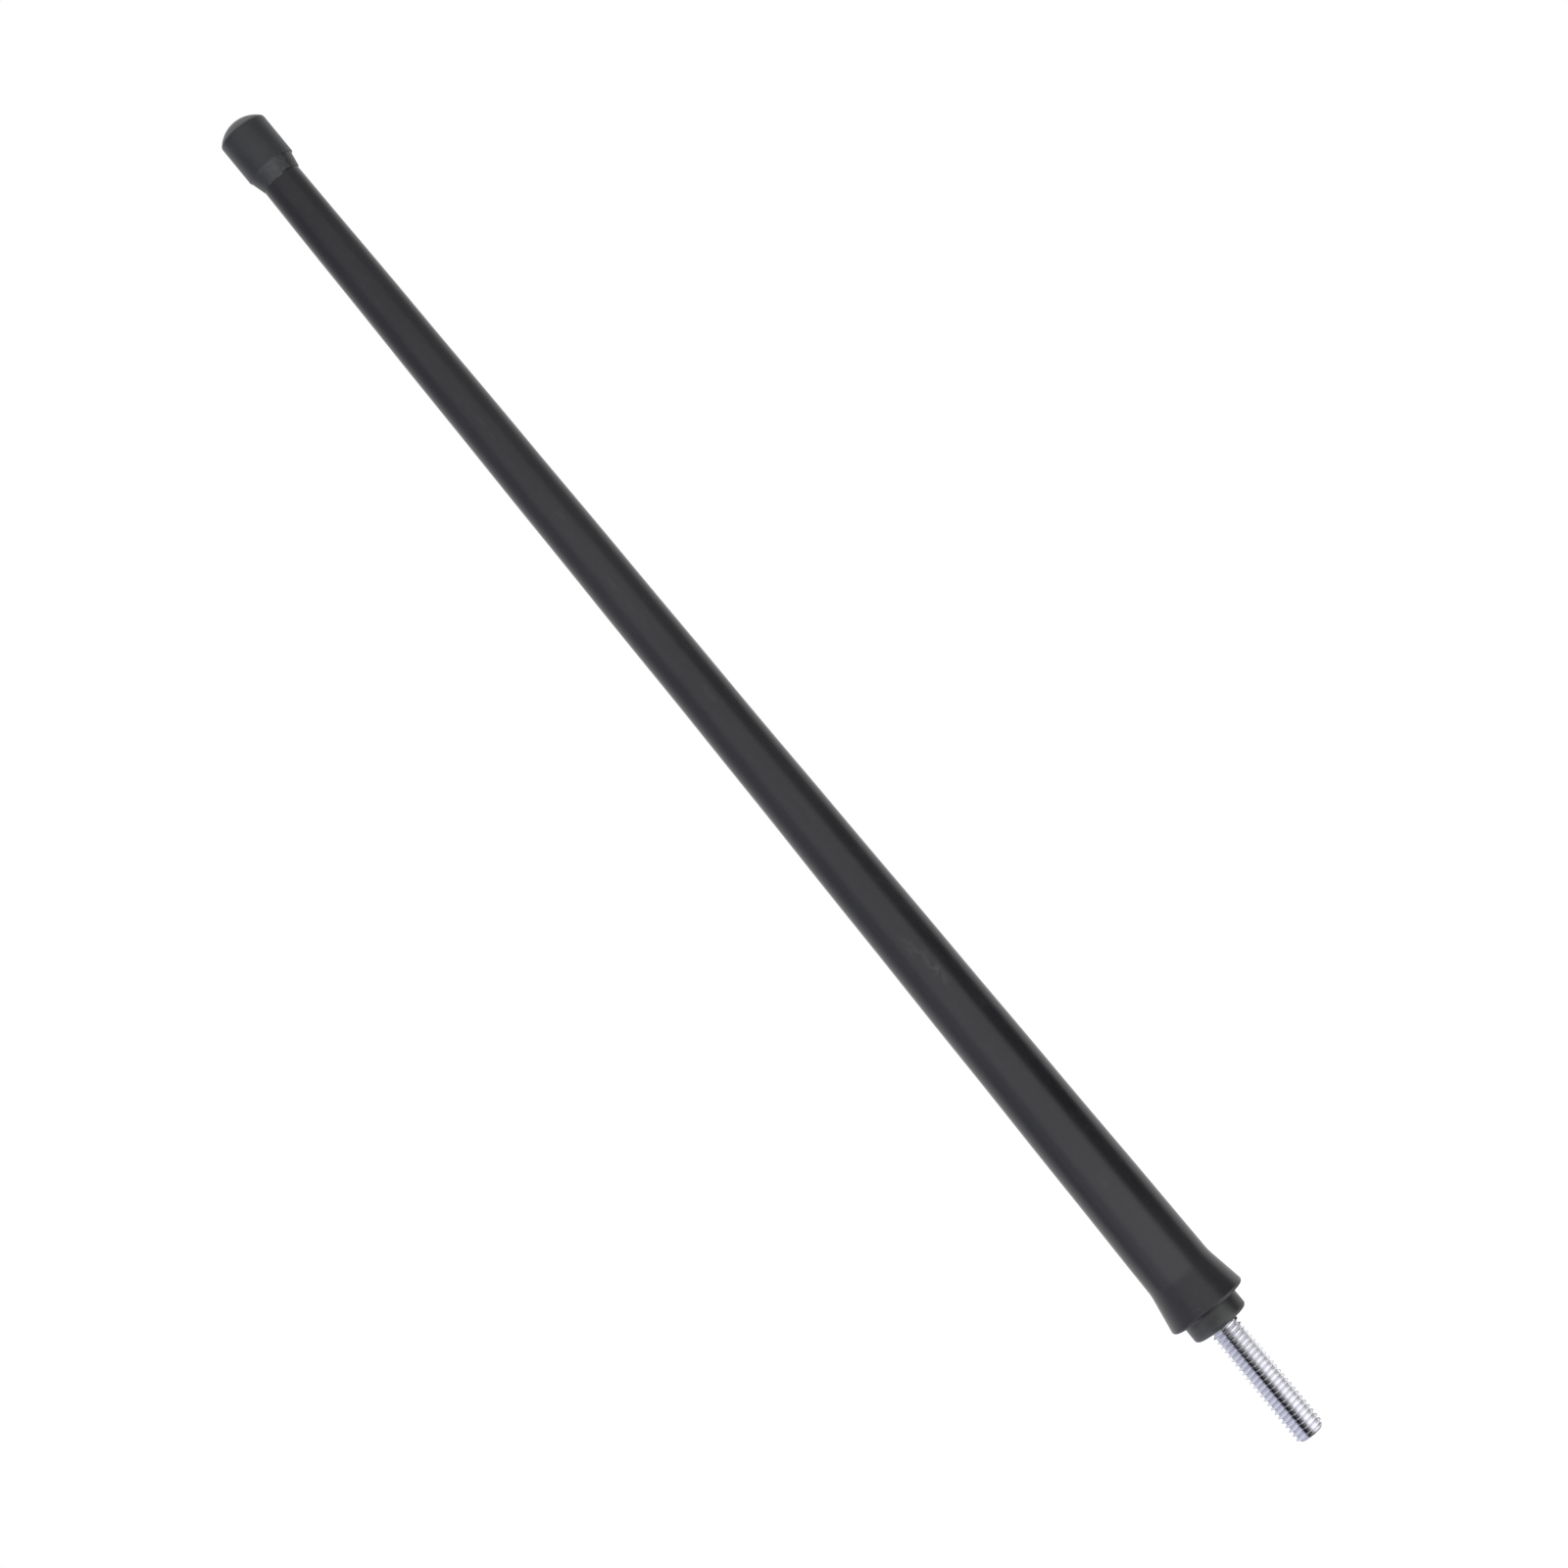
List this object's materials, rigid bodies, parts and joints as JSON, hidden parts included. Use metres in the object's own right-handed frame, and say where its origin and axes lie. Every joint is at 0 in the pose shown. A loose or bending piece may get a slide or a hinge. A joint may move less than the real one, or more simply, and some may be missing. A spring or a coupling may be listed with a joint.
{
  "type": "car mast aerial",
  "caption": "Flexible black rubber car aerial: a tapered whip with a domed tip cap, a flared foot and a threaded steel stud that screws into the car's aerial base.",
  "frame": {"origin": "centre of the collar's seat, where the aerial bears on the car's aerial base", "axes": "+Z runs along the mast from the seat to the tip, and the stud points to -Z; -Y is the side with the tear on the tip cap's neck"},
  "size_m": [0.0156, 0.0156, 0.3044],
  "materials": {
    "stud_metal": "gloss",
    "collar_plastic": "satin",
    "ferrule_brass": "satin",
    "solder": "satin",
    "rod_fibre": "satin",
    "copper_wire": "satin",
    "shrink_plastic": "satin",
    "mast_rubber": "satin",
    "cap_rubber": "satin"
  },
  "bodies": {
    "root": {"mast_stud": "stud_metal", "base_collar": "collar_plastic", "ferrule": "ferrule_brass", "solder_joint": "solder", "core_rod": "rod_fibre", "radiator_winding": "copper_wire", "shrink_tube": "shrink_plastic", "mast_sleeve": "mast_rubber", "tip_cap": "cap_rubber"}
  },
  "joints": []
}
